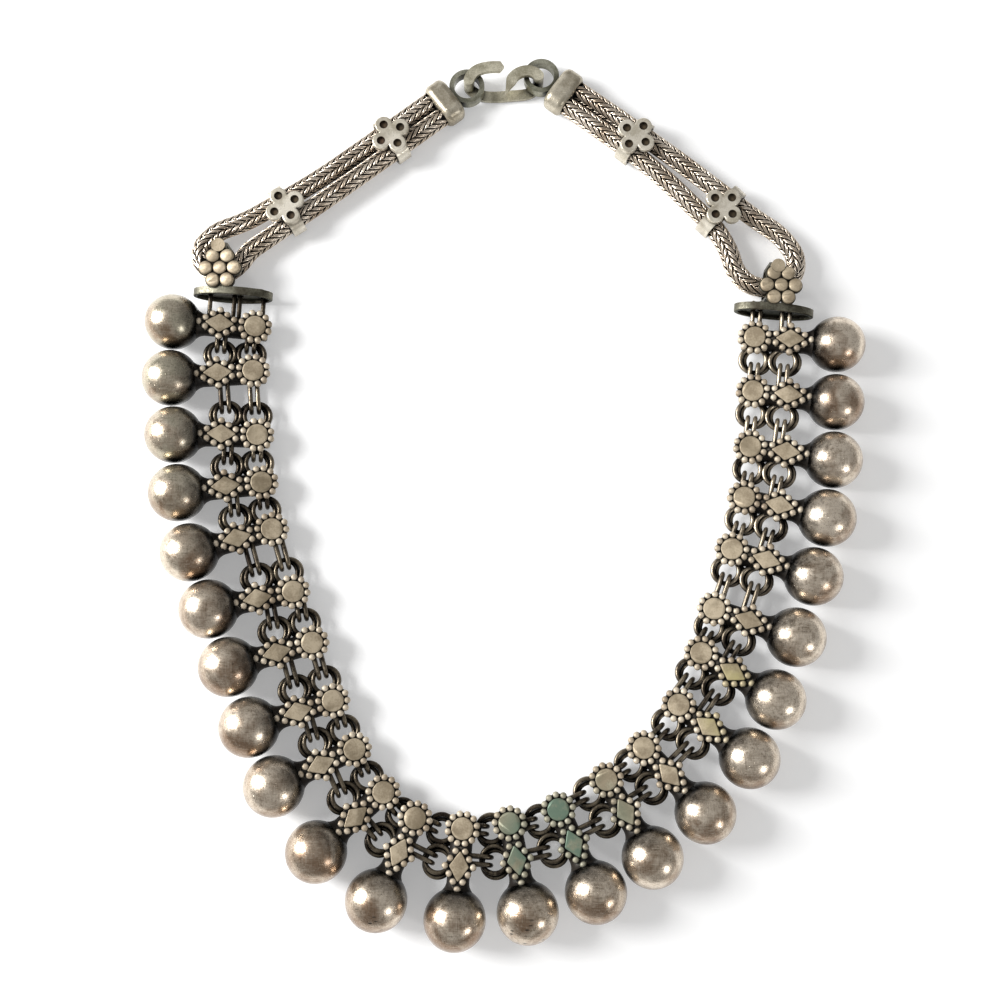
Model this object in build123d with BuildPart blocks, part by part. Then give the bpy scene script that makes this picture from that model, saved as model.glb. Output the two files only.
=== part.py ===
# A folk silver choker, fastened and lying flat: twenty-four ball bars hooked side by side, a terminal
# at each end of the row, two doubled chains with flower slides, and two collars joined by an S-hook.
# Millimetres, +Z up, the table at Z = 0. The origin is on the table in the middle of the neck opening,
# and +Y points to the S-hook.
import os
from math import asin, atan2, cos, degrees, hypot, pi, radians, sin, sqrt, tan

from build123d import *

os.makedirs("parts", exist_ok=True)

# Ball bars. Each bar lies along its own +X, from under its disc out to its ball.
ball_end_r = 6.1  # ball radius at the two ends of the row
ball_mid_r = 6.5  # and in its middle
ball_start = 11.7  # from the disc's centre to where the ball would begin on the tube's axis
tube_r = 2.4
tube_inner = 2.8  # the tube's reach past the disc's centre, towards the neck
tube_end_fillet = 0.5
neck_start = 10.6  # where the neck leaves the tube
neck_flare_r = 3.9  # its radius where it meets the ball
plate_t = 0.55
plate_margin = 0.3  # the back plate's edge outside the granules' centres
plate_sink = 0.25  # how far the plate is let into the tube
disc_r = 2.35
disc_t = 0.8
front_bevel = 0.18  # on the disc's and the lozenge's edge
lozenge_at = 7.65
lozenge_length = 6.6
lozenge_width = 4.2
lozenge_round = 0.35
granule_r = 0.72
granule_h = 0.8  # above the plate
granule_bevel = 0.28
disc_granules = 12
lozenge_edge_steps = 3  # granules' steps along each edge of the lozenge
waist_width = 2.6

# Wire loops that link a bar to its neighbours
wire_r = 0.5  # to the corners of its section
wire_sides = 8
ring_r = 2.8  # centre line of a face-on ring
ring_out = 4.6  # its centre from the bar's axis, where the next bar leaves room
ring_z = 0.1
ring_stack = 0.9  # two rings are stacked at this pitch
ring_shift = 0.9  # and the lower one stands this much nearer to the ball
column_inner = 0.0  # loops under the disc
column_outer = 6.4  # loops under the lozenge
hairpin_pitch = 1.6
hairpin_h = 1.6  # half the height of an upright loop, on its centre line
hairpin_corner = 1.5
hairpin_slack = 0.4
link_gap = 0.25

# Row of bars. The tubes' places under the discs follow this route from the left terminal round to the right one.
disc_route = [
    (-54.6, 37.9), (-54.8, 28), (-53.6, 14), (-52.4, 3), (-49.9, -7.2), (-40.9, -31.3), (-31.5, -53.9),
    (-25.4, -62.8), (-18.3, -68.6), (-8, -70.9), (2.1, -69.8), (12.8, -66.8), (23.1, -60.5), (38.5, -44.9),
    (46.6, -24.2), (53.6, -0.1), (56, 23.4), (56.7, 35.4),
]
# One row for each bar: its gap to the bar before, as a share of the mean gap, and its lean in degrees
bar_rows = [
    (0.00, 2), (0.87, 3), (1.24, -5), (0.92, -2), (0.92, -1), (1.24, -9.5), (1.02, -4.5), (1.14, -4.5),
    (0.98, -4.5), (0.96, -1), (0.77, 1), (0.91, -4), (0.88, 1), (0.94, 2), (1.04, -6), (0.91, 0),
    (1.03, -5), (1.05, -13), (0.87, -2), (1.17, -2), (1.01, -3), (0.98, -4), (1.08, -5), (1.05, -2),
]

# Doubled chains. Each route runs from its collar out along the outer strand, round the bail and back.
chain_d = 4.1
chain_left_route = [
    (-14.3, 92.2), (-41, 72.4), (-57, 62.8), (-63.6, 60.4), (-67.1, 56.8), (-67.1, 53.4), (-64.6, 50.9),
    (-60.8, 50.8), (-58.2, 53.0), (-56.2, 56.0), (-38, 68.9), (-11.7, 88.5),
]
chain_right_route = [
    (16.4, 94.6), (25.4, 88.2), (40.4, 77.1), (57.4, 63.4), (62.8, 59.8), (66.3, 55), (66.3, 51),
    (63.5, 47.9), (59.4, 47.2), (55.4, 48.2), (52.6, 51.4), (51.4, 56), (48.4, 61.4), (34, 76.1), (13.5, 91.3),
]
run_share = 0.45  # of the shorter run at a corner that its arc may take

# Terminals. Each stands across the row's end, +X outwards and +Y away from the bars.
end_plate_length = 17.6
end_plate_height = 8.2
end_plate_t = 0.9
end_plate_rim_w = 0.8
end_plate_rim_t = 0.8
end_plate_lift = 0.1  # above the table
end_gap_left = 7.7  # from the first bar's axis to the plate
end_gap_right = 7.1
end_plate_out_left = 5.2  # the plate's centre, outwards from the disc
end_plate_out_right = 3.5
end_loop_half = 2.6  # half the width of the first bar's long loops
end_loop_shift = 1.2
end_hairpin_rise = 0.6
end_hairpin_h = 1.2
end_corner = 0.7  # of the wire loops behind the plate
end_slot_extra = 0.2
petal_r = 1.5
petal_t = 0.8
petal_bevel = 0.28
petal_pitch = 3.06
flower_turn = 4  # degrees
flower_base_t = 0.6
flower_base_margin = 0.22
flower_out_left = 2.4  # the flower's centre from the plate's middle
flower_out_right = 0.4
flower_back = 4.4
bail_w = 3.2
bail_t = 0.7
bail_shift_left = 0.7  # the bail's middle, outwards from the flower's
bail_shift_right = -1.0
bail_back_left = 10.6  # the bail's far side from the plate's middle
bail_back_right = 9.8
bail_disc_in = 1.2

# Slides, collars and the S-hook
slide_w = 3.1
slide_wall = 0.6
slide_gap = 0.35
bail_gap = 0.25
slide_petal_r = 1.95
slide_petal_at = 2.65  # a petal's centre from the slide's middle
slide_petal_t = 1.0
slide_pit_r = 0.95
slide_pit_depth = 0.7
# Where each slide's strap crosses the outer and the inner strand, from the strands' collar ends
slide_left_upper_at = (14.4, 14.3)
slide_left_lower_at = (43.0, 43.2)
slide_right_upper_at = (19.2, 19.4)
slide_right_lower_at = (44.9, 44.5)
collar_length = 10.4
collar_height = 6.2
collar_depth = 5.0
collar_round = 1.5
collar_past = 0.6  # the collar's middle, past the strands' ends
socket_gap = 0.2
clasp_ring_r = 4.0
clasp_ring_wall = 1.1
clasp_ring_h = 2.6
clasp_ring_overlap = 0.3
hook_w = 2.4
hook_t = 1.1
hook_gap = 0.25
hook_round = 0.3
hook_point_left = 0.9  # how far each tongue narrows to its point
hook_point_right = 3.4
# The hook in plan: places in each ring's hole, then along the two tongues and the body, from the rings' centres
hook_left_hole = (0.5, 0.9)
hook_right_hole = (-0.7, -0.6)
tongue_left = [(1.9, 3.0), (4.6, 4.0), (7.6, 4.1)]
tongue_right = [(-3.0, 0.6), (-5.2, 0.1), (-6.9, -1.7)]
body_left = [(2.7, -0.7), (6.3, -1.2)]
body_right = [(-6.0, -3.4), (-2.6, -2.8)]
table_gap = 0.15

# Heights that follow from the sizes above
plate_z = tube_r - plate_sink
plate_top = plate_z + plate_t
granule_reach = 0.95 * granule_r  # from a disc's or lozenge's edge to its granules' centres
granule_ring_r = disc_r + granule_reach
chain_z = table_gap + bail_t + bail_gap + chain_d / 2


def write(part, label):
    part.label = label
    export_step(part, f"parts/{label}.step")


# Granules round the lozenge, evenly along its four edges, with none at the inner point, where the disc's ring is
edge_length = hypot(lozenge_length, lozenge_width)
granule_far = lozenge_length / 2 + granule_reach * edge_length / lozenge_width
granule_wide = lozenge_width / 2 + granule_reach * edge_length / lozenge_length
granule_spots = []
for count in range(disc_granules):
    turn = 2 * pi * (count + 0.5) / disc_granules
    granule_spots.append((granule_ring_r * cos(turn), granule_ring_r * sin(turn)))
for side in (1, -1):
    for count in range(1 - lozenge_edge_steps, lozenge_edge_steps):
        share = count / lozenge_edge_steps
        granule_spots.append((lozenge_at + granule_far * share, side * granule_wide * (1 - abs(share))))
granule_spots.append((lozenge_at + granule_far, 0))

# What all bars share: tube, back plate, disc, lozenge and granules
lozenge_corners = [
    (lozenge_at + lozenge_length / 2, 0), (lozenge_at, lozenge_width / 2),
    (lozenge_at - lozenge_length / 2, 0), (lozenge_at, -lozenge_width / 2),
]
with BuildPart() as bar_body:
    with BuildSketch(Plane.YZ.offset(-tube_inner)):
        Circle(tube_r)
    extrude(amount=tube_inner + neck_start)
    fillet(bar_body.edges().group_by(Axis.X)[0], tube_end_fillet)
    with BuildSketch(Plane.XY.offset(plate_z)):
        Polygon(*lozenge_corners, align=None)
        offset(amount=granule_reach + plate_margin)
        Circle(granule_ring_r + plate_margin)
        with Locations((lozenge_at / 2, 0)):
            Rectangle(lozenge_at, waist_width)
    extrude(amount=plate_t)
    with BuildSketch(Plane.XY.offset(plate_top)) as fronts:
        Polygon(*lozenge_corners, align=None)
        fillet(fronts.vertices(), lozenge_round)
        Circle(disc_r)
    extrude(amount=disc_t - front_bevel)
    extrude(fronts.sketch.moved(Location((0, 0, disc_t - front_bevel))), amount=front_bevel, taper=45)
    with BuildSketch(Plane.XY.offset(plate_z)):
        with Locations(granule_spots):
            Circle(granule_r)
    extrude(amount=plate_t + granule_h - granule_bevel)
    with BuildSketch(Plane.XY.offset(plate_top + granule_h - granule_bevel)):
        with Locations(granule_spots):
            Circle(granule_r)
    extrude(amount=granule_bevel, taper=45)

# Places of the bars
with BuildLine() as disc_line:
    Spline(*disc_route)
disc_wire = disc_line.wire()
row_length = disc_wire.length
share_sum = sum(share for share, lean in bar_rows)
bar_count = len(bar_rows)


def ball_radius(index):
    return ball_end_r + (ball_mid_r - ball_end_r) * sin(pi * index / (bar_count - 1))


def tilt_angle(ball_r):
    # the tube's inner end and the ball both touch the table
    span = ball_start + ball_r + tube_inner
    return asin(ball_r / hypot(span, tube_r)) - atan2(tube_r, span)


bar_planes = []
travel = 0
for index, (share, lean) in enumerate(bar_rows):
    travel += share * row_length / share_sum
    along = min(travel, row_length - 0.001)
    spot = disc_wire.position_at(along, position_mode=PositionMode.LENGTH)
    tangent = disc_wire.tangent_at(along, position_mode=PositionMode.LENGTH)
    heading = atan2(tangent.Y, tangent.X) - pi / 2 + radians(lean)
    tilt = tilt_angle(ball_radius(index))
    height = tube_r * cos(tilt) + tube_inner * sin(tilt)
    bar_planes.append(
        Plane(
            origin=(spot.X, spot.Y, height),
            x_dir=(cos(heading) * cos(tilt), sin(heading) * cos(tilt), sin(tilt)),
            z_dir=(-cos(heading) * sin(tilt), -sin(heading) * sin(tilt), cos(tilt)),
        )
    )


def ring_offset(index, column):
    # how far out a bar's ring stands: ring_out, or less where the bar before is near
    before = bar_planes[index - 1]
    here = bar_planes[index]
    origin = before.to_local_coords(here.from_local_coords(Vector(column, 0, ring_z)))
    outward = here.y_dir.dot(before.y_dir)
    room = origin.Y - tube_r - link_gap - wire_r - ring_r
    return min(ring_out, room / outward)


def hairpin_place(index, column):
    # where a bar's upright loops pass round the next bar's rings, in the bar's own frame
    here = bar_planes[index]
    after = bar_planes[index + 1]
    centre = after.from_local_coords(Vector(column + ring_shift / 2, -ring_offset(index + 1, column), ring_z))
    normal = after.z_dir
    towards = (here.y_dir - normal * here.y_dir.dot(normal)).normalized()
    return here.to_local_coords(centre - towards * ring_r)


with BuildPart() as face_on_ring:
    with BuildSketch(Plane.XZ):
        with Locations((ring_r, 0)):
            RegularPolygon(wire_r, wire_sides)
    revolve(axis=Axis.Z)


def hairpin(reach, half_height, rise, corner):
    # an upright loop on the YZ plane, from the tube's middle out to its reach
    with BuildPart() as loop:
        with BuildLine(Plane.YZ):
            FilletPolyline(
                (0, rise + half_height), (reach, rise + half_height), (reach, rise - half_height),
                (0, rise - half_height), radius=corner,
            )
        with BuildSketch(Plane(origin=(0, 0, rise + half_height), z_dir=(0, 1, 0))):
            RegularPolygon(wire_r, wire_sides)
        sweep()
    return loop.part


def long_loop(reach):
    # the first bar's loop, which passes through the left terminal's plate
    with BuildPart() as loop:
        with BuildLine():
            FilletPolyline(
                (-end_loop_half, 0, ring_z), (-end_loop_half, -reach, ring_z),
                (end_loop_half, -reach, ring_z), (end_loop_half, 0, ring_z), radius=end_corner,
            )
        with BuildSketch(Plane(origin=(-end_loop_half, 0, ring_z), z_dir=(0, -1, 0))):
            RegularPolygon(wire_r, wire_sides)
        sweep()
    return loop.part


end_reach_left = end_gap_left + end_plate_t / 2 + link_gap + wire_r
end_reach_right = end_gap_right + end_plate_t / 2 + link_gap + wire_r
for index in range(bar_count):
    ball_r = ball_radius(index)
    ball_x = ball_start + ball_r
    flare_x = ball_x - sqrt(ball_r**2 - neck_flare_r**2)
    with BuildPart() as bar:
        add(bar_body.part)
        with BuildSketch(Plane.XZ):
            with BuildLine():
                Line((ball_x, 0), (neck_start, 0))
                Line((neck_start, 0), (neck_start, tube_r))
                TangentArc((neck_start, tube_r), (flare_x, neck_flare_r), tangent=(1, 0))
                Line((flare_x, neck_flare_r), (ball_x, 0))
            make_face()
        revolve(axis=Axis.X)
        with Locations((ball_x, 0, 0)):
            Sphere(ball_r)
        for column in (column_inner, column_outer):
            if index == 0:
                with Locations((column + end_loop_shift, 0, 0)):
                    add(long_loop(end_reach_left))
            else:
                offset = ring_offset(index, column)
                with Locations(
                    (column, -offset, ring_z + ring_stack / 2),
                    (column + ring_shift, -offset, ring_z - ring_stack / 2),
                ):
                    add(face_on_ring.part)
            if index == bar_count - 1:
                pin_x, pin_reach, pin_z = column, end_reach_right, ring_z + end_hairpin_rise
                pin_h, pin_corner = end_hairpin_h, end_corner
            else:
                place = hairpin_place(index, column)
                pin_x, pin_z = place.X, place.Z
                pin_reach = place.Y + hairpin_slack + hairpin_h
                pin_h, pin_corner = hairpin_h, hairpin_corner
            pin = hairpin(pin_reach, pin_h, pin_z, pin_corner)
            with Locations((pin_x - hairpin_pitch / 2, 0, 0), (pin_x + hairpin_pitch / 2, 0, 0)):
                add(pin)
    write(bar_planes[index].location * bar.part, f"bar_{index + 1:02d}")


# Terminals
def end_plane(index, gap, out, side):
    # stands at the end of the row, square to the last bar, on the table
    bar = bar_planes[index]
    flat = Vector(bar.x_dir.X, bar.x_dir.Y, 0).normalized()
    away = Vector(-flat.Y, flat.X, 0) * side
    foot = Vector(bar.origin.X, bar.origin.Y, 0) + away * gap + flat * out
    return Plane(origin=foot, x_dir=flat * side, z_dir=(0, 0, 1))


def terminal(side, flower_out, bail_shift, bail_back, holes):
    # built with +X outwards on the right side, and mirrored for the left one by side = -1
    middle_z = end_plate_lift + end_plate_height / 2
    flower_x = side * flower_out
    base_z = middle_z + end_plate_height / 2 - flower_base_t
    upright = Plane(origin=(0, end_plate_t / 2, middle_z), x_dir=(1, 0, 0), z_dir=(0, -1, 0))
    petals = [(flower_x, flower_back)]
    for count in range(6):
        turn = radians(flower_turn + 60 * count)
        petals.append((flower_x + petal_pitch * cos(turn), flower_back + petal_pitch * sin(turn)))
    with BuildPart() as end:
        with BuildSketch(upright):
            Ellipse(end_plate_length / 2, end_plate_height / 2)
        extrude(amount=end_plate_t)
        with BuildSketch(upright.offset(end_plate_t)):
            Ellipse(end_plate_length / 2, end_plate_height / 2)
            Ellipse(
                end_plate_length / 2 - end_plate_rim_w, end_plate_height / 2 - end_plate_rim_w, mode=Mode.SUBTRACT
            )
        extrude(amount=end_plate_rim_t)
        fillet(end.faces().sort_by(Axis.Y)[0].edges(), 0.3 * end_plate_rim_w)
        with BuildSketch(Plane.XY.offset(base_z)):
            with Locations(petals):
                Circle(petal_r + flower_base_margin)
        extrude(amount=flower_base_t)
        with BuildSketch(Plane.XY.offset(base_z + flower_base_t)) as discs:
            with Locations(petals):
                Circle(petal_r)
        extrude(amount=petal_t - petal_bevel)
        extrude(discs.sketch.moved(Location((0, 0, petal_t - petal_bevel))), amount=petal_bevel, taper=45)
        bail_x = flower_x + side * bail_shift
        bail_low = table_gap
        bail_front = end_plate_t / 2 + link_gap + 2 * wire_r + link_gap
        bail_length = bail_back - bail_front
        bail_height = base_z + bail_t - bail_low
        with BuildSketch(
            Plane(
                origin=(bail_x - bail_w / 2, bail_front + bail_length / 2, bail_low + bail_height / 2),
                x_dir=(0, 1, 0), z_dir=(1, 0, 0),
            )
        ):
            RectangleRounded(bail_length, bail_height, 2 * bail_t)
            RectangleRounded(bail_length - 2 * bail_t, bail_height - 2 * bail_t, bail_t, mode=Mode.SUBTRACT)
        extrude(amount=bail_w)
        with BuildSketch(Plane.XY.offset(base_z + bail_t / 2)):
            with Locations((bail_x, bail_back - bail_disc_in)):
                Circle(petal_r)
        extrude(amount=bail_t / 2 + petal_t)
        for x, z, width, height in holes:
            with BuildSketch(Plane(origin=(x, 0, z), x_dir=(1, 0, 0), z_dir=(0, -1, 0))):
                SlotOverall(width, height, rotation=0) if width > height else Circle(width / 2)
            extrude(amount=end_plate_t + end_plate_rim_t, both=True, mode=Mode.SUBTRACT)
    return end.part


left_plane = end_plane(0, end_gap_left, end_plate_out_left, -1)
right_plane = end_plane(bar_count - 1, end_gap_right, end_plate_out_right, 1)
left_holes = []
right_holes = []
for column in (column_inner, column_outer):
    for leg in (-end_loop_half, end_loop_half):
        place = bar_planes[0].from_local_coords(Vector(column + end_loop_shift + leg, -end_gap_left, ring_z))
        local = left_plane.to_local_coords(place)
        left_holes.append((local.X, local.Z, 2 * (wire_r + link_gap), 2 * (wire_r + link_gap)))
    for leg in (-end_hairpin_h, end_hairpin_h):
        place = bar_planes[-1].from_local_coords(Vector(column, end_gap_right, ring_z + end_hairpin_rise + leg))
        local = right_plane.to_local_coords(place)
        right_holes.append(
            (local.X, local.Z, hairpin_pitch + 2 * (wire_r + link_gap), 2 * (wire_r + link_gap) + end_slot_extra)
        )
terminal_left = terminal(-1, flower_out_left, bail_shift_left, bail_back_left, left_holes)
terminal_right = terminal(1, flower_out_right, bail_shift_right, bail_back_right, right_holes)
write(left_plane.location * terminal_left, "terminal_left")
write(right_plane.location * terminal_right, "terminal_right")


# Doubled chains
def corner_radii(points):
    radii = []
    for before, corner, after in zip(points, points[1:], points[2:]):
        run_in = Vector(*corner) - Vector(*before)
        run_out = Vector(*after) - Vector(*corner)
        turn = radians(run_in.get_angle(run_out))
        radii.append(run_share * min(run_in.length, run_out.length) / tan(turn / 2))
    return radii


def chain(route):
    points = [(x, y, chain_z) for x, y in route]
    with BuildPart() as strand:
        with BuildLine() as path:
            FilletPolyline(*points, radius=corner_radii(points))
        start = path.wire() % 0
        with BuildSketch(Plane(origin=path.wire() @ 0, z_dir=start)):
            Circle(chain_d / 2)
        sweep()
    return strand.part, path.wire()


chain_left, left_wire = chain(chain_left_route)
chain_right, right_wire = chain(chain_right_route)
write(chain_left, "chain_left")
write(chain_right, "chain_right")
for name, wire, part in (("left", left_wire, chain_left), ("right", right_wire, chain_right)):
    print(f"chain {name}: {wire.length:.1f} mm, volume over section times length "
          f"{part.volume / (pi * chain_d**2 / 4 * wire.length):.4f}")


# Flower slides, each on a strap round both strands
def slide(wire, crossing):
    outer_at, inner_at = crossing
    outer = wire.position_at(outer_at, position_mode=PositionMode.LENGTH)
    inner = wire.position_at(wire.length - inner_at, position_mode=PositionMode.LENGTH)
    across = inner - outer
    middle = (inner + outer) * 0.5
    place = Plane(origin=middle, x_dir=across.normalized(), z_dir=(0, 0, 1))
    inside_w = across.length + chain_d + 2 * slide_gap
    inside_h = chain_d + 2 * slide_gap
    top = inside_h / 2 + slide_wall
    spots = [(slide_petal_at, 0), (-slide_petal_at, 0), (0, slide_petal_at), (0, -slide_petal_at)]
    with BuildPart() as flower:
        with BuildSketch(Plane.XZ.offset(-slide_w / 2)):
            RectangleRounded(inside_w + 2 * slide_wall, inside_h + 2 * slide_wall, inside_h / 2)
            RectangleRounded(inside_w, inside_h, inside_h / 2 - slide_wall, mode=Mode.SUBTRACT)
        extrude(amount=slide_w)
        with BuildSketch(Plane.XY.offset(top - slide_wall / 2)):
            with Locations(spots):
                Circle(slide_petal_r)
            Rectangle(2 * slide_petal_r, 2 * slide_petal_r)
        extrude(amount=slide_wall / 2 + slide_petal_t)
        fillet(flower.faces().sort_by(Axis.Z)[-1].edges(), 0.3 * slide_petal_t)
        with Locations([(x, y, top + slide_petal_t) for x, y in spots]):
            Hole(slide_pit_r, slide_pit_depth)
    return place.location * flower.part


write(slide(left_wire, slide_left_upper_at), "slide_left_upper")
write(slide(left_wire, slide_left_lower_at), "slide_left_lower")
write(slide(right_wire, slide_right_upper_at), "slide_right_upper")
write(slide(right_wire, slide_right_lower_at), "slide_right_lower")


# Collars with their rings. Each collar's +Y points away from the chain.
def collar(wire):
    outer = wire @ 0
    inner = wire @ 1
    away = ((wire % 1) - (wire % 0)).normalized()
    middle = (outer + inner) * 0.5 + away * collar_past
    place = Plane(origin=middle, x_dir=away.cross(Vector(0, 0, 1)), z_dir=(0, 0, 1))
    ring_at = collar_depth / 2 + clasp_ring_r - clasp_ring_overlap
    ring_low = hook_t + hook_gap + table_gap
    socket_r = chain_d / 2 + socket_gap
    with BuildPart() as band:
        with BuildSketch(Plane.XZ.offset(-collar_depth / 2)):
            RectangleRounded(collar_length, collar_height, 0.45 * collar_height)
        extrude(amount=collar_depth)
        fillet(band.faces().filter_by(Axis.Y).edges(), collar_round)
        for end in (outer, inner):
            local = place.to_local_coords(end)
            with BuildSketch(Plane.XZ.offset(collar_depth / 2).move(Location((local.X, 0, 0)))):
                Circle(socket_r)
            extrude(amount=-(local.Y + collar_depth / 2 + socket_gap), mode=Mode.SUBTRACT)
        with BuildSketch(Plane.XY.offset(ring_low - chain_z)):
            with Locations((0, ring_at)):
                Circle(clasp_ring_r)
                Circle(clasp_ring_r - clasp_ring_wall, mode=Mode.SUBTRACT)
        extrude(amount=clasp_ring_h)
    return place.location * band.part, place.from_local_coords(Vector(0, ring_at, 0))


collar_left, ring_left = collar(left_wire)
collar_right, ring_right = collar(right_wire)
write(collar_left, "collar_left")
write(collar_right, "collar_right")

# S-hook: a flat band that passes under each ring's wall, up through the ring and back over the wall
def beside(ring, shift):
    return (ring.X + shift[0], ring.Y + shift[1])


hook_low = [beside(ring_left, place) for place in [hook_left_hole] + body_left]
hook_low += [beside(ring_right, place) for place in body_right + [hook_right_hole]]
hook_high_z = table_gap + hook_t + 2 * hook_gap + clasp_ring_h
with BuildPart() as s_hook:
    with BuildSketch(Plane.XY.offset(table_gap)):
        with BuildLine():
            Spline(*hook_low)
        trace(line_width=hook_w)
        with Locations(hook_low[0], hook_low[-1]):
            Circle(hook_w / 2)
    extrude(amount=hook_t)
    with BuildSketch(Plane.XY.offset(table_gap + hook_t / 2)):
        with Locations(hook_low[0], hook_low[-1]):
            Circle(hook_w / 2)
    extrude(amount=hook_high_z + hook_t / 2 - table_gap - hook_t / 2)
    for ring, hole, tongue, point in (
        (ring_left, hook_left_hole, tongue_left, hook_point_left),
        (ring_right, hook_right_hole, tongue_right, hook_point_right),
    ):
        places = [beside(ring, place) for place in [hole] + tongue]
        with BuildSketch(Plane.XY.offset(hook_high_z)):
            with BuildLine() as tongue_path:
                Spline(*places)
            trace(line_width=hook_w)
            ahead = tongue_path.wire() % 1
            tip = tongue_path.wire() @ 1
            aside = Vector(-ahead.Y, ahead.X) * hook_w / 2
            with BuildLine():
                Polyline(tip + aside, tip + ahead * point, tip - aside, close=True)
            make_face()
            with Locations(places[0]):
                Circle(hook_w / 2)
        extrude(amount=hook_t)
    fillet(s_hook.faces().sort_by(Axis.Z)[0].edges(), hook_round)
write(s_hook.part, "s_hook")
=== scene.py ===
import math

import bmesh
import bpy
import numpy as np
from mathutils import Matrix, Vector


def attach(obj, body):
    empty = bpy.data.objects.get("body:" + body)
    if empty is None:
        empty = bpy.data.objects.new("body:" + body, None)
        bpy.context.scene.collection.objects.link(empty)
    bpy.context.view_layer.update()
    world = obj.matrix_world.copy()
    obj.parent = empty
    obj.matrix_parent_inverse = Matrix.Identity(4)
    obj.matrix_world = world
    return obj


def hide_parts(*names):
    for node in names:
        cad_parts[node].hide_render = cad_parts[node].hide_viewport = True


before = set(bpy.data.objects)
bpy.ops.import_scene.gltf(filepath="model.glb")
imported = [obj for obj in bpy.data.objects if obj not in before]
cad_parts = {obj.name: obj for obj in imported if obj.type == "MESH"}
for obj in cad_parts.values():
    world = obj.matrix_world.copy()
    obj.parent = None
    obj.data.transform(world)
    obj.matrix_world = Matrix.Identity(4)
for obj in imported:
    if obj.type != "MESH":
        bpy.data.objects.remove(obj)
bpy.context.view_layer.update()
mm = 0.001
print("frame loaded,", len(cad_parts), "pieces")


# Shader tools

class Feed:
    # one node output, with the arithmetic that the finishes use
    def __init__(self, finish, socket):
        self.finish, self.socket = finish, socket

    def sum(self, operation, first, second):
        return self.finish.node("ShaderNodeMath", {"operation": operation}, {0: first, 1: second})

    def __add__(self, other):
        return self.sum("ADD", self, other)

    def __sub__(self, other):
        return self.sum("SUBTRACT", self, other)

    def __rsub__(self, other):
        return self.sum("SUBTRACT", other, self)

    def __mul__(self, other):
        return self.sum("MULTIPLY", self, other)

    __radd__, __rmul__ = __add__, __mul__


class Finish:
    def __init__(self, name):
        self.material = bpy.data.materials.new(name)
        self.material.use_nodes = True
        self.tree = self.material.node_tree
        self.shader = self.tree.nodes["Principled BSDF"]
        self.place = self.node("ShaderNodeTexCoord", out="Object")

    def node(self, kind, settings=None, sockets=None, out=0):
        made = self.tree.nodes.new(kind)
        for key, value in (settings or {}).items():
            setattr(made, key, value)
        for key, value in (sockets or {}).items():
            if isinstance(value, Feed):
                self.tree.links.new(value.socket, made.inputs[key])
            else:
                made.inputs[key].default_value = value
        return Feed(self, made.outputs[out])

    def noise(self, scale, detail, rough=0.55, warp=0.0):
        return self.node("ShaderNodeTexNoise", None,
                         {"Vector": self.place, "Scale": scale, "Detail": detail,
                          "Roughness": rough, "Distortion": warp})

    def turned(self, turn, stretch):
        return self.node("ShaderNodeMapping", None,
                         {"Vector": self.place, "Rotation": turn, "Scale": stretch})

    def scratches(self, scale, stretch, turn):
        # long thin lines: noise squeezed along one direction
        lines = self.node("ShaderNodeTexNoise", None,
                          {"Vector": self.turned(turn, stretch), "Scale": scale, "Detail": 2.0})
        return self.between(lines, 0.6, 0.72)

    def brushed(self, scale, stretch, turn):
        # streaks with all their shades
        return self.node("ShaderNodeTexNoise", None,
                         {"Vector": self.turned(turn, stretch), "Scale": scale,
                          "Detail": 3.0, "Roughness": 0.6})

    def pits(self, scale, stretch, turn, size):
        # small dents with soft edges
        spots = self.node("ShaderNodeTexVoronoi", None,
                          {"Vector": self.turned(turn, stretch), "Scale": scale}, out="Distance")
        return self.between(spots, size, 0.6 * size)

    def attribute(self, name):
        return self.node("ShaderNodeAttribute", {"attribute_name": name}, out="Fac")

    def between(self, value, low, high, least=0.0, most=1.0):
        return self.node("ShaderNodeMapRange", {"clamp": True},
                         {0: value, 1: low, 2: high, 3: least, 4: most})

    def near(self, spot, inner, outer):
        # 1 within the inner distance of a place, 0 beyond the outer one
        away = self.node("ShaderNodeVectorMath", {"operation": "DISTANCE"},
                         {0: self.place, 1: spot}, out="Value")
        return self.between(away, inner, outer, 1.0, 0.0)

    def blend(self, amount, first, second):
        return self.node("ShaderNodeMix", {"data_type": "RGBA", "blend_type": "MIX"},
                         {0: amount, 6: first, 7: second}, out=2)

    def crevice(self, reach, low, high):
        # 1 in the open, 0 deep in a corner
        seen = self.node("ShaderNodeAmbientOcclusion", {"samples": 8}, {"Distance": reach},
                         out="AO")
        return self.between(seen, low, high)

    def feed(self, **sockets):
        for key, value in sockets.items():
            entry = self.shader.inputs[key.replace("_", " ")]
            if isinstance(value, Feed):
                self.tree.links.new(value.socket, entry)
            else:
                entry.default_value = value

    def relief(self, height, strength, depth):
        bump = self.node("ShaderNodeBump", None,
                         {"Strength": strength, "Distance": depth, "Height": height})
        self.feed(Normal=bump)


def rgb(red, green, blue):
    # a screen colour, 0 to 255, as the shader's linear colour
    shares = [value / 255 for value in (red, green, blue)]
    linear = [s / 12.92 if s <= 0.04045 else ((s + 0.055) / 1.055) ** 2.4 for s in shares]
    return (*linear, 1)


# Finishes. Old silver is bright where it rubs and brown where it is tarnished, and its corners
# are painted dark as shade, with some tarnish there too. "reach" is how far a corner's shade
# looks, and "open" how open a spot is where the painted corner shade is black and where it ends.
# "rough" goes from smooth to dull.

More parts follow.
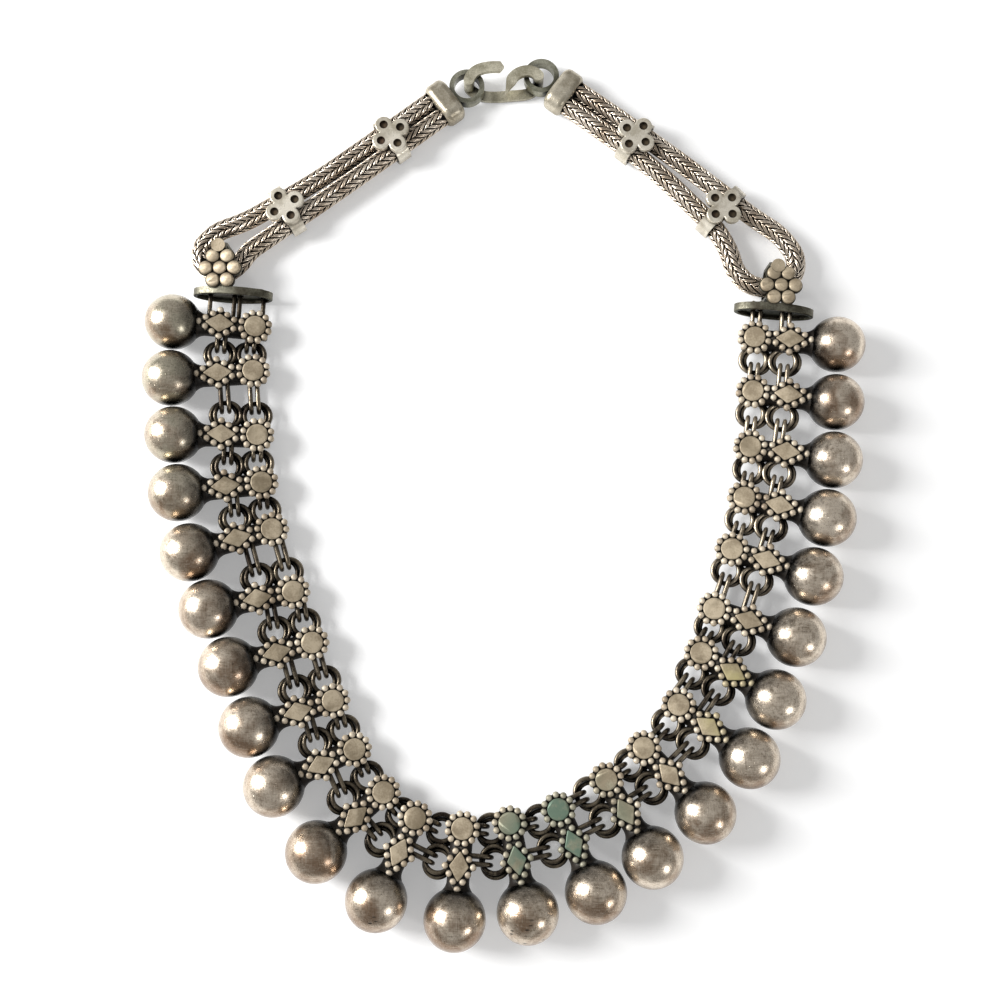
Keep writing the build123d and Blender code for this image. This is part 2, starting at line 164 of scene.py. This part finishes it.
oldLooks = {
    # face: the discs and lozenges, darker partly in their own tone and partly as a painted dark
    # reflection
    "face": {"bright": rgb(182, 168, 144), "dull": rgb(144, 130, 108), "stain": rgb(104, 92, 70),
             "dark": rgb(16, 13, 9), "rough": (0.42, 0.6), "metal": 0.45, "reach": 0.8 * mm,
             "open": (0.35, 0.9), "stained": 0.6, "scratched": 0.5, "patina": 1.0},
    # grain: the granules, lighter partly in their own tone and partly as a painted highlight
    "grain": {"bright": rgb(212, 199, 178), "dull": rgb(164, 149, 127), "stain": rgb(116, 96, 76),
              "dark": rgb(8, 6, 5), "rough": (0.48, 0.64), "metal": 0.42, "reach": 1.4 * mm,
              "open": (0.58, 0.98), "stained": 0.5, "scratched": 0.2, "patina": 0.5},
    "wire": {"bright": rgb(132, 121, 103), "dull": rgb(54, 46, 38), "stain": rgb(34, 26, 20),
             "dark": rgb(5, 4, 3), "rough": (0.24, 0.4), "metal": 0.85, "reach": 2.4 * mm,
             "open": (0.45, 1.0), "stained": 0.8, "scratched": 0.3, "patina": 0.0,
             "rubbed": rgb(184, 170, 149)},
    # rod: the bar's body under its plates, near black, partly tarnish and partly painted shade
    "rod": {"bright": rgb(46, 40, 34), "dull": rgb(22, 19, 16), "stain": rgb(18, 14, 11),
            "dark": rgb(4, 3, 3), "rough": (0.4, 0.6), "metal": 0.5, "reach": 2.0 * mm,
            "open": (0.3, 0.95), "stained": 0.4, "scratched": 0.4, "patina": 0.0},
    "collar": {"bright": rgb(204, 196, 178), "dull": rgb(158, 149, 130), "stain": rgb(112, 100, 78),
               "dark": rgb(14, 13, 9), "rough": (0.24, 0.4), "metal": 0.7, "reach": 2.2 * mm,
               "open": (0.4, 0.9), "stained": 0.5, "scratched": 0.8, "patina": 0.0},
    "slide": {"bright": rgb(224, 217, 202), "dull": rgb(184, 176, 158), "stain": rgb(128, 116, 94),
              "dark": rgb(14, 12, 9), "rough": (0.26, 0.42), "metal": 0.55, "reach": 1.8 * mm,
              "open": (0.38, 0.86), "stained": 0.5, "scratched": 0.6, "patina": 0.0},
    "petal": {"bright": rgb(190, 175, 150), "dull": rgb(152, 138, 115), "stain": rgb(118, 100, 78),
              "dark": rgb(16, 13, 9), "rough": (0.42, 0.6), "metal": 0.5, "reach": 1.0 * mm,
              "open": (0.4, 0.92), "stained": 0.5, "scratched": 0.4, "patina": 0.0},
    "pit": {"bright": rgb(96, 82, 60), "dull": rgb(62, 52, 36), "stain": rgb(78, 44, 28),
            "dark": rgb(8, 7, 5), "rough": (0.5, 0.7), "metal": 0.3, "reach": 0.8 * mm,
            "open": (0.2, 0.9), "stained": 0.6, "scratched": 0.0, "patina": 0.0},
    "endRim": {"bright": rgb(122, 119, 104), "dull": rgb(72, 69, 57), "stain": rgb(52, 42, 30),
               "dark": rgb(12, 12, 8), "rough": (0.32, 0.48), "metal": 0.75, "reach": 1.8 * mm,
               "open": (0.3, 0.85), "stained": 0.7, "scratched": 0.5, "patina": 0.0},
    # the terminal plate's broad upright faces, painted dark as shade
    "endPlateShade": {"bright": rgb(74, 76, 58), "dull": rgb(34, 36, 26), "stain": rgb(52, 34, 20),
                 "dark": rgb(6, 6, 4), "rough": (0.35, 0.55), "metal": 0.7, "reach": 2.0 * mm,
                 "open": (0.2, 0.8), "stained": 0.7, "scratched": 0.5, "patina": 0.0},
    "ring": {"bright": rgb(184, 182, 164), "dull": rgb(130, 129, 111), "stain": rgb(72, 70, 52),
             "dark": rgb(10, 11, 8), "rough": (0.22, 0.36), "metal": 0.8, "reach": 2.4 * mm,
             "open": (0.35, 0.9), "stained": 0.6, "scratched": 0.5, "patina": 0.0},
    "hook": {"bright": rgb(218, 212, 190), "dull": rgb(162, 156, 134), "stain": rgb(116, 104, 78),
             "dark": rgb(14, 12, 8), "rough": (0.24, 0.4), "metal": 0.65, "reach": 1.8 * mm,
             "open": (0.3, 0.85), "stained": 0.5, "scratched": 0.6, "patina": 0.0},
    "strand": {"bright": rgb(250, 236, 218), "dull": rgb(204, 186, 164), "stain": rgb(136, 108, 86),
               "dark": rgb(5, 3, 2), "rough": (0.2, 0.32), "metal": 0.82, "reach": 0.75 * mm,
               "open": (0.58, 0.94), "stained": 0.4, "scratched": 0.1, "patina": 0.0},
    # the black tube inside the chain's arms, painted shade between them
    "core": {"bright": rgb(22, 15, 12), "dull": rgb(12, 8, 6), "stain": rgb(16, 10, 7),
             "dark": rgb(4, 3, 2), "rough": (0.6, 0.8), "metal": 0.2, "reach": 0.6 * mm,
             "open": (0.3, 0.9), "stained": 0.3, "scratched": 0.0, "patina": 0.0},
}
# Coloured and rubbed places: the spot, and how far they reach in full and at most
patinaPlaces = {"turquoise": (Vector((0.013, -0.073, 0.009)), 9 * mm, 19 * mm),
                "yellow": (Vector((0.051, -0.045, 0.009)), 6 * mm, 10.5 * mm)}
patinaTints = {"turquoise": rgb(92, 110, 94), "yellow": rgb(168, 158, 112)}
rubbedPlace = (Vector((0.068, 0.035, 0.004)), 34 * mm, 78 * mm)
noiseMean = 0.5

# What all the old silver shares. A noise is its scale, detail, roughness and distortion, a
# scratch its scale, stretch and turn.
oldGrain = {"clouds": (240, 4, 0.6, 0.3), "specks": (2400, 3, 0.6), "stains": (150, 3, 0.6, 0.5),
            "scratch": (700, (1, 12, 12), (0.3, 0.5, 0.7)),
            "crossScratch": (800, (12, 1, 12), (0.2, 0.4, 1.9)),
            "toneSpecks": 0.5, "toneRange": (0.36, 0.62), "stainRange": (0.5, 0.66),
            "patinaRange": (0.32, 0.52), "patinaLeast": 0.35, "rubRange": (0.35, 0.55),
            "polishLines": 0.4, "polishRange": (0.35, 0.8), "bumpSpecks": 0.4, "bumpLines": 0.5,
            "bump": (0.4, 0.05 * mm)}


def oldSilver(name, look):
    grain = oldGrain
    finish = Finish("silver " + name)
    clouds = finish.noise(*grain["clouds"])
    specks = finish.noise(*grain["specks"])
    lines = finish.scratches(*grain["scratch"]) + finish.scratches(*grain["crossScratch"])
    tone = clouds + (specks - noiseMean) * grain["toneSpecks"]
    metal = finish.blend(finish.between(tone, *grain["toneRange"]), look["dull"], look["bright"])
    stains = finish.between(finish.noise(*grain["stains"]), *grain["stainRange"],
                            0.0, look["stained"])
    metal = finish.blend(stains, metal, look["stain"])
    if look["patina"]:
        for tint, place in patinaPlaces.items():
            cloudy = finish.between(clouds, *grain["patinaRange"], grain["patinaLeast"],
                                    look["patina"])
            metal = finish.blend(finish.near(*place) * cloudy, metal, patinaTints[tint])
    if "rubbed" in look:
        worn = finish.near(*rubbedPlace) * finish.between(clouds, *grain["rubRange"])
        metal = finish.blend(worn, metal, look["rubbed"])
    # corners blended towards the dark colour: painted shade, with some tarnish
    colour = finish.blend(finish.crevice(look["reach"], *look["open"]), look["dark"], metal)
    smooth, dull = look["rough"]
    rough = finish.between(specks + lines * grain["polishLines"], *grain["polishRange"],
                           dull, smooth)
    finish.feed(Base_Color=colour, Metallic=look["metal"], Roughness=rough)
    finish.relief(specks * grain["bumpSpecks"] + clouds
                  + lines * look["scratched"] * grain["bumpLines"], *grain["bump"])
    return finish.material


# The balls: brushed, mottled on the right, greenish on the left and browner on their near
# sides, with dents on two of them, a black neck, partly tarnish and partly a painted reflection
# of the dark rod, and painted shade on the rim and in corners. A streak is its scale, stretch
# and turn, and a dent's size follows its own.
ballLook = {"bright": rgb(232, 218, 199), "dull": rgb(164, 147, 126), "brown": rgb(126, 97, 72),
            "green": rgb(160, 158, 136), "dark": rgb(6, 5, 4),
            "rough": (0.2, 0.38), "metal": 0.9, "coat": 0.3, "coatRough": 0.24,
            "drift": (26, 1), "patches": (120, 3, 0.6, 0.6), "mottle": (760, 6, 0.78),
            "specks": (2600, 3, 0.6),
            "streaks": (240, (1, 17, 17), (0.4, 0.5, 0.9)),
            "crossStreaks": (260, (17, 1, 17), (0.5, -0.3, -0.6)),
            "lines": (0.58, 0.68), "crossLines": (0.6, 0.7), "cuts": (0.4, 0.33),
            "crossCuts": (0.38, 0.31),
            "toneRange": (0.34, 0.6), "brownRange": (0.16, 0.4), "browned": 0.8,
            "greenRange": (0.42, 0.6), "greened": (0.1, 0.6), "polishRange": (0.35, 0.65),
            "dents": (420, (1, 2.4, 1), (0.3, 0.2, 0.9), 0.24),
            "pinholes": (900, (1, 2, 1.5), (0.5, 0.7, 0.2), 0.14), "pinholeRange": (0.5, 0.62),
            "neck": (13.2 * mm, 17.2 * mm), "ragged": 2.6 * mm, "rim": (5.5 * mm, 9.5 * mm),
            "rimReach": (15.5 * mm, 20.5 * mm), "rimShade": 0.85, "rimRagged": 0.5,
            "reach": 3.0 * mm, "open": (0.35, 0.85), "bump": (0.42, 0.08 * mm),
            "greenPlace": (Vector((-0.075, 0.03, 0.006)), 18 * mm, 55 * mm),
            "mottlePlace": (Vector((0.08, 0.02, 0.006)), 25 * mm, 85 * mm),
            "dentPlaces": [(Vector((-0.029, -0.092, 0.012)), 5 * mm, 9 * mm),
                           (Vector((0.006, -0.094, 0.012)), 5 * mm, 9 * mm)]}
# How much each pattern counts
ballTone = {"patches": 0.35, "mottle": 0.45, "mottled": 0.6, "streaks": 0.36, "specks": 0.15,
            "evened": 0.22}
ballBrown = {"mottle": 0.3, "drift": 0.5, "below": 0.16}
ballMarks = {"lines": 0.35, "cuts": 0.3, "pits": 0.8}
ballPolish = {"mottle": 0.6, "specks": 0.4, "lines": 0.15}
ballBump = {"patches": 1.6, "mottle": 0.8, "specks": 0.1, "streaks": 0.4, "pits": 1.5}


def ballSilver():
    look = ballLook
    finish = Finish("silver ball")
    drift = finish.noise(*look["drift"])
    patches = finish.noise(*look["patches"])
    mottle = finish.noise(*look["mottle"])
    specks = finish.noise(*look["specks"])
    first = finish.brushed(*look["streaks"])
    second = finish.brushed(*look["crossStreaks"])
    lines = finish.between(first, *look["lines"]) + finish.between(second, *look["crossLines"])
    cuts = finish.between(first, *look["cuts"]) + finish.between(second, *look["crossCuts"])

    # the metal's own tone
    mottled = finish.near(*look["mottlePlace"])
    tone = (patches * ballTone["patches"]
            + mottle * (ballTone["mottle"] + mottled * ballTone["mottled"])
            + (first + second - 2 * noiseMean) * ballTone["streaks"]
            + specks * ballTone["specks"] - mottled * ballTone["evened"])
    metal = finish.blend(finish.between(tone, *look["toneRange"]), look["dull"], look["bright"])

    # tarnish and scratches
    tarnish = (patches - mottle * ballBrown["mottle"] + (drift - noiseMean) * ballBrown["drift"]
               - finish.attribute("below") * ballBrown["below"])
    metal = finish.blend(finish.between(tarnish, *look["brownRange"], look["browned"], 0.0),
                         metal, look["brown"])
    greened = finish.near(*look["greenPlace"]) * finish.between(patches, *look["greenRange"],
                                                                *look["greened"])
    metal = finish.blend(greened, metal, look["green"])
    metal = finish.blend(lines * ballMarks["lines"], metal, look["bright"])

    # dents and pinholes
    struck = sum(finish.near(*place) for place in look["dentPlaces"])
    pierced = finish.between(drift + (mottle - noiseMean), *look["pinholeRange"])
    pits = finish.pits(*look["dents"]) * struck + finish.pits(*look["pinholes"]) * pierced
    metal = finish.blend(pits * ballMarks["pits"], metal, look["dark"])

    # black neck and rim, with ragged edges: the rim is painted shade, the neck partly tarnish
    # and partly a painted reflection of the dark rod
    alongBar = finish.attribute("alongBar")
    ragged = (mottle - noiseMean) * look["ragged"] + (patches - noiseMean) * look["ragged"]
    clear = finish.between(alongBar + ragged, *look["neck"])
    height = finish.node("ShaderNodeSeparateXYZ", None, {0: finish.place}, out="Z")
    rimShade = (finish.between(height + ragged * look["rimRagged"], *look["rim"],
                               look["rimShade"], 0.0)
                * finish.between(alongBar, *look["rimReach"], 1.0, 0.0))
    # painted shade in corners, the black neck and rim, and dark cuts all darken the colour here
    seen = (finish.crevice(look["reach"], *look["open"]) * clear * (1 - rimShade)
            * (1 - cuts * ballMarks["cuts"]))

    smooth, dull = look["rough"]
    rough = finish.between(mottle * ballPolish["mottle"] + specks * ballPolish["specks"]
                           - lines * ballPolish["lines"], *look["polishRange"], smooth, dull)
    finish.feed(Base_Color=finish.blend(seen, look["dark"], metal), Metallic=look["metal"],
                Roughness=rough, Coat_Weight=look["coat"], Coat_Roughness=look["coatRough"])
    finish.relief(patches * ballBump["patches"] + mottle * ballBump["mottle"]
                  + specks * ballBump["specks"] + (first + second) * ballBump["streaks"]
                  - pits * ballBump["pits"], *look["bump"])
    return finish.material


finishes = {name: oldSilver(name, look) for name, look in oldLooks.items()}
finishes["ball"] = ballSilver()
print("finishes made,", len(finishes))


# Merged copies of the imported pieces, so that the finish can follow each part of a piece
merging = {"reach": 0.0005 * mm, "crease": 0.9}  # the crease is in radians


def copyOf(node):
    mesh = bmesh.new()
    mesh.from_mesh(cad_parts[node].data)
    bmesh.ops.remove_doubles(mesh, verts=mesh.verts, dist=merging["reach"])
    for edge in mesh.edges:
        edge.smooth = len(edge.link_faces) == 2 and edge.calc_face_angle(0) < merging["crease"]
    for face in mesh.faces:
        face.smooth = True
    return mesh


def finished(mesh, name, names, stands, weighted=True):
    data = bpy.data.meshes.new(name)
    mesh.to_mesh(data)
    mesh.free()
    for finish in names:
        data.materials.append(finishes[finish])
    piece = bpy.data.objects.new(name, data)
    bpy.context.scene.collection.objects.link(piece)
    if weighted:
        crisp = piece.modifiers.new("crisp flats", "WEIGHTED_NORMAL")
        crisp.keep_sharp = True
    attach(piece, "root")
    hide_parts(stands)
    return piece


# Ball bars: places along and across a bar from its disc's middle, and heights over its rod's
barParts = {"count": 24, "ballStart": 11.7 * mm, "neckStart": 10.6 * mm,
            "plateBack": 2.12 * mm, "plateTop": 2.75 * mm, "discRadius": 2.37 * mm,
            "discReach": 3.8 * mm, "lozengeAt": 7.65 * mm, "lozengeHalf": 3.3 * mm,
            "lozengeWide": 2.1 * mm, "lozengeReach": 1.75, "rodRadius": 2.44 * mm,
            "skin": 0.03 * mm, "seam": 0.15 * mm, "capFrom": 0.8, "pastBall": 1.2, "level": 0.9}
barFinishes = ["ball", "face", "grain", "wire", "rod"]


def barPlace(mesh):
    # the ball's centre and radius from its cap, and the bar's axes from its flat faces
    p = barParts
    points = np.array([v.co for v in mesh.verts])
    top = points[:, 2].max()
    cap = points[points[:, 2] > p["capFrom"] * top]
    fit = np.linalg.lstsq(np.c_[2 * cap, np.ones(len(cap))], (cap ** 2).sum(1), rcond=None)[0]
    centre = Vector(fit[:3])
    radius = math.sqrt(fit[3] + fit[:3] @ fit[:3])
    areas = {}
    for face in mesh.faces:
        away = (face.calc_center_median() - centre).length
        if face.normal.z > p["level"] and away > p["pastBall"] * radius:
            key = tuple(round(n, 3) for n in face.normal)
            areas[key] = areas.get(key, 0) + face.calc_area()
    up = Vector(max(areas, key=areas.get)).normalized()
    out = Vector((-up.x, -up.y, 0)).normalized()
    out = (out - up * out.dot(up)).normalized()
    side = up.cross(out)
    place = Matrix((out, side, up)).transposed().to_4x4()
    place.translation = centre - out * (p["ballStart"] + radius)
    return place, centre, radius


def barRegion(spot, world, centre, radius):
    # which of the bar's finishes a face takes, by its place along and across the bar
    p = barParts
    if (world - centre).length < radius + p["skin"] and spot.x > p["ballStart"] + p["seam"]:
        return "ball"
    fromDisc = math.hypot(spot.x, spot.y)
    inLozenge = abs(spot.x - p["lozengeAt"]) / p["lozengeHalf"] + abs(spot.y) / p["lozengeWide"]
    if spot.z > p["plateTop"] and (fromDisc < p["discRadius"] or inLozenge < 1.0):
        return "face"
    if spot.z > p["plateBack"] and (fromDisc < p["discReach"] or inLozenge < p["lozengeReach"]):
        return "grain"
    if spot.x < p["neckStart"] and (abs(spot.y) > p["rodRadius"] or spot.z < -p["rodRadius"]):
        return "wire"
    return "rod"


for index in range(barParts["count"]):
    node = f"bar_{index + 1:02d}"
    mesh = copyOf(node)
    place, centre, radius = barPlace(mesh)
    back = place.inverted()
    alongBar = mesh.verts.layers.float.new("alongBar")
    below = mesh.verts.layers.float.new("below")
    for vert in mesh.verts:
        vert[alongBar] = (back @ vert.co).x
        vert[below] = (centre.y - vert.co.y) / radius
    for face in mesh.faces:
        world = face.calc_center_median()
        region = barRegion(back @ world, world, centre, radius)
        face.material_index = barFinishes.index(region)
    finished(mesh, "silver_" + node, barFinishes, node)
print("bars dressed")

# Terminals: worn discs above an upright plate with a paler edge, its broad faces painted dark as
# shade
endParts = {"petals": 8.31 * mm, "base": 7.66 * mm, "flat": 0.8, "upright": 0.05}
for node in ("terminal_left", "terminal_right"):
    mesh = copyOf(node)
    areas = {}
    for face in mesh.faces:
        if abs(face.normal.z) < endParts["upright"]:
            key = tuple(round(abs(n), 2) for n in face.normal)
            areas.setdefault(key, [0, face.normal.copy()])[0] += face.calc_area()
    across = max(areas.values(), key=lambda entry: entry[0])[1]
    # faces across the plate below the discs are painted dark as shade; the top, edges and base stay
    # paler
    for face in mesh.faces:
        height = face.calc_center_median().z
        if height > endParts["petals"]:
            face.material_index = 0
        elif height > endParts["base"] or abs(face.normal.dot(across)) < endParts["flat"]:
            face.material_index = 1
        else:
            face.material_index = 2
    finished(mesh, "silver_" + node, ["petal", "endRim", "endPlateShade"], node)

# Slides: pale, with dark pits in their four petals
slideParts = {"pitDepth": 0.7 * mm, "slack": 0.06 * mm, "pitReach": 0.7 * mm, "level": 0.9}
for node in ("slide_left_upper", "slide_left_lower", "slide_right_upper", "slide_right_lower"):
    mesh = copyOf(node)
    top = max(v.co.z for v in mesh.verts)
    bottom = top - slideParts["pitDepth"]
    slack = slideParts["slack"]
    level = [face.calc_center_median() for face in mesh.faces
             if face.normal.z > slideParts["level"]]
    bottoms = [spot for spot in level if abs(spot.z - bottom) < slack]
    for face in mesh.faces:
        spot = face.calc_center_median()
        deep = bottom - slack < spot.z < top - slack
        inPit = deep and any((spot - other).xy.length < slideParts["pitReach"]
                             for other in bottoms)
        face.material_index = 1 if inPit else 0
    finished(mesh, "silver_" + node, ["slide", "pit"], node)

# Collars, with a darker soldered ring towards the hook
collarParts = {"top": 5.2 * mm, "face": 2.7 * mm}
for node in ("collar_left", "collar_right"):
    mesh = copyOf(node)
    high = [v.co for v in mesh.verts if v.co.z > collarParts["top"]]
    middle = sum(high, Vector()) / len(high)
    tip = max((v.co for v in mesh.verts), key=lambda spot: (spot - middle).xy.length)
    toHook = (tip - middle).xy.normalized()
    for face in mesh.faces:
        onRing = (face.calc_center_median() - middle).xy.dot(toHook) > collarParts["face"]
        face.material_index = 1 if onRing else 0
    finished(mesh, "silver_" + node, ["collar", "ring"], node)

finished(copyOf("s_hook"), "silver_s_hook", ["hook"], "s_hook")
print("fittings dressed")

# Doubled loop-in-loop chains: short wire arms in eight columns round a black core tube,
# which paints the shade between them. Each route runs from the collar along the outer
# strand, round the bail and back along the inner one.
chainRoutes = {
    "chain_left": [(-14.3, 92.2), (-41, 72.4), (-57, 62.8), (-63.6, 60.4), (-67.1, 56.8),
                   (-67.1, 53.4), (-64.6, 50.9), (-60.8, 50.8), (-58.2, 53.0), (-56.2, 56.0),
                   (-38, 68.9), (-11.7, 88.5)],
    "chain_right": [(16.4, 94.6), (25.4, 88.2), (40.4, 77.1), (57.4, 63.4), (62.8, 59.8),
                    (66.3, 55), (66.3, 51), (63.5, 47.9), (59.4, 47.2), (55.4, 48.2),
                    (52.6, 51.4), (51.4, 56), (48.4, 61.4), (34, 76.1), (13.5, 91.3)],
}
# In millimetres and degrees. Each row of the arch is a share of an arm's run, its distance
# from the strand's middle there, and its thickness as a share of the wire's. "outside" is
# the side of the route that faces outwards, and "second" how the inner strand's arms lean.
weave = {"height": 3.15, "columns": 8, "pairPitch": 1.8, "pairGap": 0.56, "run": 3.2,
         "swing": 25, "wire": 0.195, "core": 1.52, "coreStep": 0.8, "cornerShare": 0.45,
         "routeStep": 0.1, "glance": 0.3, "second": {"chain_left": -1, "chain_right": 1},
         "outside": {"chain_left": -1, "chain_right": 1},
         "arch": [(0.0, 1.5, 0.7), (0.1, 1.78, 1.0), (0.3, 1.99, 1.1), (0.55, 2.03, 1.1),
                  (0.8, 1.92, 1.0), (0.93, 1.7, 0.9), (1.0, 1.48, 0.7)]}


def roundedRoute(points, share, step):
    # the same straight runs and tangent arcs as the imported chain, as evenly spaced places
    points = [Vector((x, y, 0)) for x, y in points]
    dense = [points[0]]
    for before, corner, after in zip(points, points[1:], points[2:]):
        reach = share * min((corner - before).length, (after - corner).length)
        inward, outward = (before - corner).normalized(), (after - corner).normalized()
        start, end = corner + inward * reach, corner + outward * reach
        half = inward.angle(outward) / 2
        middle = corner + (inward + outward).normalized() * (reach / math.cos(half))
        first, last = start - middle, end - middle
        turn = first.angle(last)
        steps = max(2, int(turn * first.length / step))
        for count in range(steps + 1):
            part = count / steps
            swung = first * math.sin((1 - part) * turn) + last * math.sin(part * turn)
            dense.append(middle + swung / math.sin(turn))
    dense.append(points[-1])
    table = np.array(dense)
    along = np.r_[0, np.cumsum(np.linalg.norm(np.diff(table, axis=0), axis=1))]
    return table, along


def woundWire(curve, spots, radii, wire):
    spline = curve.splines.new("POLY")
    spline.points.add(len(spots) - 1)
    for point, spot, radius in zip(spline.points, spots, radii):
        point.co = (*(spot * mm), 1)
        point.radius = radius * wire * mm


def curveMesh(curve):
    holder = bpy.data.objects.new("winding", curve)
    bpy.context.scene.collection.objects.link(holder)
    bpy.context.view_layer.update()
    ready = holder.evaluated_get(bpy.context.evaluated_depsgraph_get())
    data = bpy.data.meshes.new_from_object(ready)
    bpy.data.objects.remove(holder)
    return data


def tubeCurve(name, resolution):
    curve = bpy.data.curves.new(name, "CURVE")
    curve.dimensions, curve.bevel_depth, curve.bevel_resolution = "3D", 1, resolution
    curve.use_fill_caps = True
    return curve


for node, points in chainRoutes.items():
    table, along = roundedRoute(points, weave["cornerShare"], weave["routeStep"])
    whole = along[-1]

    def spotAt(distance):
        return Vector([np.interp(distance, along, table[:, axis]) for axis in range(3)])

    arms = tubeCurve(node + " arms", 1)
    run, pitch, glance = weave["run"], weave["pairPitch"], weave["glance"]
    for strand in (0, 1):
        lean = weave["second"][node] if strand else 1
        for column in range(weave["columns"]):
            sign = lean if column % 2 == 0 else -lean
            facing = 90 + column * 360 / weave["columns"]
            offset = pitch / 2 if column % 2 else 0
            for count in range(2 * int(whole / 2 / pitch)):
                begin = count // 2 * pitch + offset + (count % 2) * weave["pairGap"]
                spots, radii = [], []
                for share, rise, thick in weave["arch"]:
                    travel = min(begin + share * run, whole / 2 + run)
                    distance = whole - travel if strand else travel
                    ahead = (spotAt(distance + glance) - spotAt(distance - glance)).normalized()
                    if strand:
                        ahead = -ahead
                    outward = Vector((-ahead.y, ahead.x, 0)) * weave["outside"][node]
                    angle = math.radians(facing + sign * weave["swing"] * (1 - 2 * share))
                    upward = Vector((0, 0, weave["height"] + math.sin(angle) * rise))
                    spots.append(spotAt(distance) + outward * math.cos(angle) * rise + upward)
                    radii.append(thick)
                woundWire(arms, spots, radii, weave["wire"])
    core = tubeCurve(node + " core", 3)
    middles = [spotAt(distance) + Vector((0, 0, weave["height"]))
               for distance in np.arange(0, whole, weave["coreStep"])]
    woundWire(core, middles, [1] * len(middles), weave["core"])
    mesh = bmesh.new()
    mesh.from_mesh(curveMesh(arms))
    armFaces = len(mesh.faces)
    mesh.from_mesh(curveMesh(core))
    mesh.faces.ensure_lookup_table()
    for face in mesh.faces:
        face.material_index = 0 if face.index < armFaces else 1
        face.smooth = len(face.verts) == 4
    finished(mesh, "woven_" + node, ["strand", "core"], node, weighted=False)
    print(node, "woven,", armFaces, "faces")

# Camera at the photograph's angle, a little off the vertical and from the near side
cameraSet = {"away": 277 * mm, "tilt": 7, "lens": 45, "sensor": 36, "nearest": 10 * mm}
lens = bpy.data.cameras.new("camera")
lens.lens, lens.sensor_width = cameraSet["lens"], cameraSet["sensor"]
lens.clip_start = cameraSet["nearest"]
camera = bpy.data.objects.new("camera", lens)
tilt = math.radians(cameraSet["tilt"])
camera.location = (0, -cameraSet["away"] * math.sin(tilt), cameraSet["away"] * math.cos(tilt))
camera.rotation_euler = (tilt, 0, 0)
bpy.context.scene.collection.objects.link(camera)
bpy.context.scene.camera = camera

# Pale floor, a window's soft light from the left and a small one from the right
studio = {"floor": 1.6, "paper": (0.76, 0.76, 0.76, 1), "paperRough": 0.9, "glow": 0.3,
          "white": (1, 1, 1, 1), "world": 0.34}
softboxes = {"key": {"spot": (-0.66, 0.15, 0.42), "size": (0.32, 0.44), "power": 11.4},
             "fill": {"spot": (0.45, -0.4, 0.33), "size": (0.09, 0.09), "power": 0.8}}
floorMesh = bmesh.new()
bmesh.ops.create_grid(floorMesh, x_segments=1, y_segments=1, size=studio["floor"])
floorData = bpy.data.meshes.new("floor")
floorMesh.to_mesh(floorData)
floorMesh.free()
floor = bpy.data.objects.new("floor", floorData)
paper = Finish("floor paper")
paper.feed(Base_Color=studio["paper"], Roughness=studio["paperRough"],
           Emission_Color=studio["white"], Emission_Strength=studio["glow"])
floorData.materials.append(paper.material)
bpy.context.scene.collection.objects.link(floor)

world = bpy.data.worlds.new("studio")
world.use_nodes = True
sky = world.node_tree.nodes["Background"]
sky.inputs["Color"].default_value = studio["white"]
sky.inputs["Strength"].default_value = studio["world"]
bpy.context.scene.world = world

for name, box in softboxes.items():
    light = bpy.data.lights.new(name, "AREA")
    light.shape, light.energy = "RECTANGLE", box["power"]
    light.size, light.size_y = box["size"]
    lamp = bpy.data.objects.new(name, light)
    lamp.location = box["spot"]
    lamp.rotation_euler = (-Vector(box["spot"])).to_track_quat("-Z", "Y").to_euler()
    bpy.context.scene.collection.objects.link(lamp)
bpy.context.scene.view_settings.view_transform = "Standard"
print("camera and studio set")
